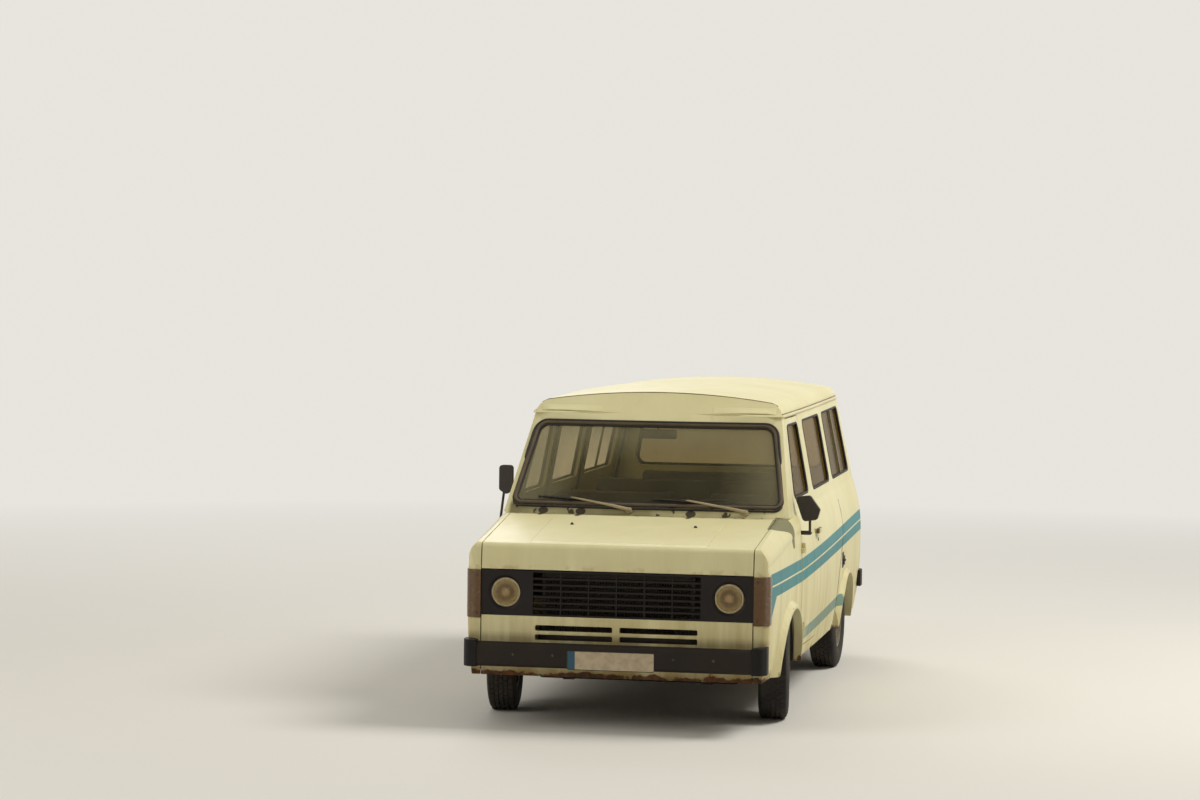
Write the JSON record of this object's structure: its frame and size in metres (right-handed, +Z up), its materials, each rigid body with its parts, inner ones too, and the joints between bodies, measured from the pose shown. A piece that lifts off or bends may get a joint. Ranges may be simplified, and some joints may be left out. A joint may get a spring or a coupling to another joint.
{
  "type": "minibus",
  "caption": "Short semi-bonneted minibus with opening doors, tailgate and bonnet, seats inside, steered front wheels and a blue double stripe on cream paint.",
  "frame": {"origin": "on the ground, under the middle of the vehicle's box", "axes": "+Z up, +Y towards the rear, +X towards the vehicle's left"},
  "size_m": [2.0469, 4.57, 1.9725],
  "materials": {
    "paint": "aged cream paint with a blue double stripe",
    "dark_plastic": "faded black",
    "window_glass": "clear, slightly green",
    "lamp_glass": "ribbed lamp glass",
    "amber_lens": "sun-browned amber",
    "red_lens": "red lens",
    "floor_paint": "matt",
    "seat_cloth": "worn cloth",
    "frame_paint": "black chassis paint",
    "cast_metal": "as cast",
    "rusty_steel": "rusty",
    "rubber_sheet": "matt",
    "tyre_rubber": "worn tread",
    "wheel_paint": "grey wheel paint"
  },
  "bodies": {
    "root": {"front_panel": "paint", "grille_panel": "dark_plastic", "wing_left": "paint", "wing_right": "paint", "cowl": "paint", "windscreen_frame": "paint", "windscreen": "window_glass", "roof": "paint", "side_left": "paint", "side_right": "paint", "side_glass": "window_glass", "rear_frame": "paint", "headlamps": "lamp_glass", "indicators": "amber_lens", "tail_lamps": "red_lens", "front_bumper": "dark_plastic", "bumper_caps": "dark_plastic", "rear_bumper": "dark_plastic", "floor": "floor_paint", "dashboard": "dark_plastic", "steering_wheel": "dark_plastic", "front_seats": "seat_cloth", "rear_seats": "seat_cloth", "seat_frames": "frame_paint", "chassis": "frame_paint", "engine": "cast_metal", "front_axle": "frame_paint", "rear_axle": "frame_paint", "exhaust": "rusty_steel", "fuel_tank": "frame_paint", "mudflaps": "rubber_sheet"},
    "bonnet": {"bonnet": "paint"},
    "door_left": {"door_left": "paint", "door_glass_left": "window_glass", "mirror_left": "dark_plastic"},
    "door_right": {"door_right": "paint", "door_glass_right": "window_glass", "mirror_right": "dark_plastic"},
    "side_door": {"side_door": "paint", "side_door_glass": "window_glass"},
    "tailgate": {"tailgate": "paint", "tailgate_glass": "window_glass"},
    "knuckle_left": {"knuckle_left": "cast_metal"},
    "knuckle_right": {"knuckle_right": "cast_metal"},
    "track_rod": {"track_rod": "frame_paint"},
    "wheel_front_left": {"tyre_front_left": "tyre_rubber", "rim_front_left": "wheel_paint"},
    "wheel_front_right": {"tyre_front_right": "tyre_rubber", "rim_front_right": "wheel_paint"},
    "wheel_rear_left": {"tyre_rear_left": "tyre_rubber", "rim_rear_left": "wheel_paint"},
    "wheel_rear_right": {"tyre_rear_right": "tyre_rubber", "rim_rear_right": "wheel_paint"}
  },
  "joints": [
    {"name": "bonnet_hinge", "type": "hinge", "parent": "root", "child": "bonnet", "pos_m": [0, -1.343, 1.201], "axis": [-1, 0, 0], "range_deg": [0, 50]},
    {"name": "door_left_hinge", "type": "hinge", "parent": "root", "child": "door_left", "pos_m": [0.962, -0.994, 0.765], "axis": [0, 0, -1], "range_deg": [0, 65]},
    {"name": "door_right_hinge", "type": "hinge", "parent": "root", "child": "door_right", "pos_m": [-0.962, -0.994, 0.765], "axis": [0, 0, 1], "range_deg": [0, 65]},
    {"name": "side_door_hinge", "type": "hinge", "parent": "root", "child": "side_door", "pos_m": [-0.962, -0.104, 0.765], "axis": [0, 0, 1], "range_deg": [0, 80]},
    {"name": "tailgate_hinge", "type": "hinge", "parent": "root", "child": "tailgate", "pos_m": [0, 2.15594, 1.794], "axis": [1, 0, 0], "range_deg": [0, 85]},
    {"name": "steer_left", "type": "hinge", "parent": "root", "child": "knuckle_left", "pos_m": [0.722, -1.4, 0.326], "axis": [0, 0, 1], "range_deg": [-40, 26]},
    {"name": "steer_right", "type": "hinge", "parent": "root", "child": "knuckle_right", "pos_m": [-0.722, -1.4, 0.326], "axis": [0, 0, 1], "range_deg": [-40, 26]},
    {"name": "track_rod_pivot", "type": "hinge", "parent": "knuckle_left", "child": "track_rod", "pos_m": [0.70372, -1.25112, 0.27], "axis": [0, 0, 1], "range_deg": [-26, 40]},
    {"name": "wheel_front_left_spin", "type": "hinge", "parent": "knuckle_left", "child": "wheel_front_left", "pos_m": [0.83515, -1.38611, 0.326], "axis": [0.9925, 0.1219, 0], "continuous": true},
    {"name": "wheel_front_right_spin", "type": "hinge", "parent": "knuckle_right", "child": "wheel_front_right", "pos_m": [-0.83515, -1.41389, 0.326], "axis": [0.9925, 0.1219, 0], "continuous": true},
    {"name": "wheel_rear_left_spin", "type": "hinge", "parent": "root", "child": "wheel_rear_left", "pos_m": [0.828, 1.29, 0.326], "axis": [1, 0, 0], "continuous": true},
    {"name": "wheel_rear_right_spin", "type": "hinge", "parent": "root", "child": "wheel_rear_right", "pos_m": [-0.828, 1.29, 0.326], "axis": [1, 0, 0], "continuous": true}
  ],
  "couplings": [
    {"joint": "steer_right", "follows": "steer_left", "ratio": 1},
    {"joint": "track_rod_pivot", "follows": "steer_left", "ratio": -1}
  ]
}
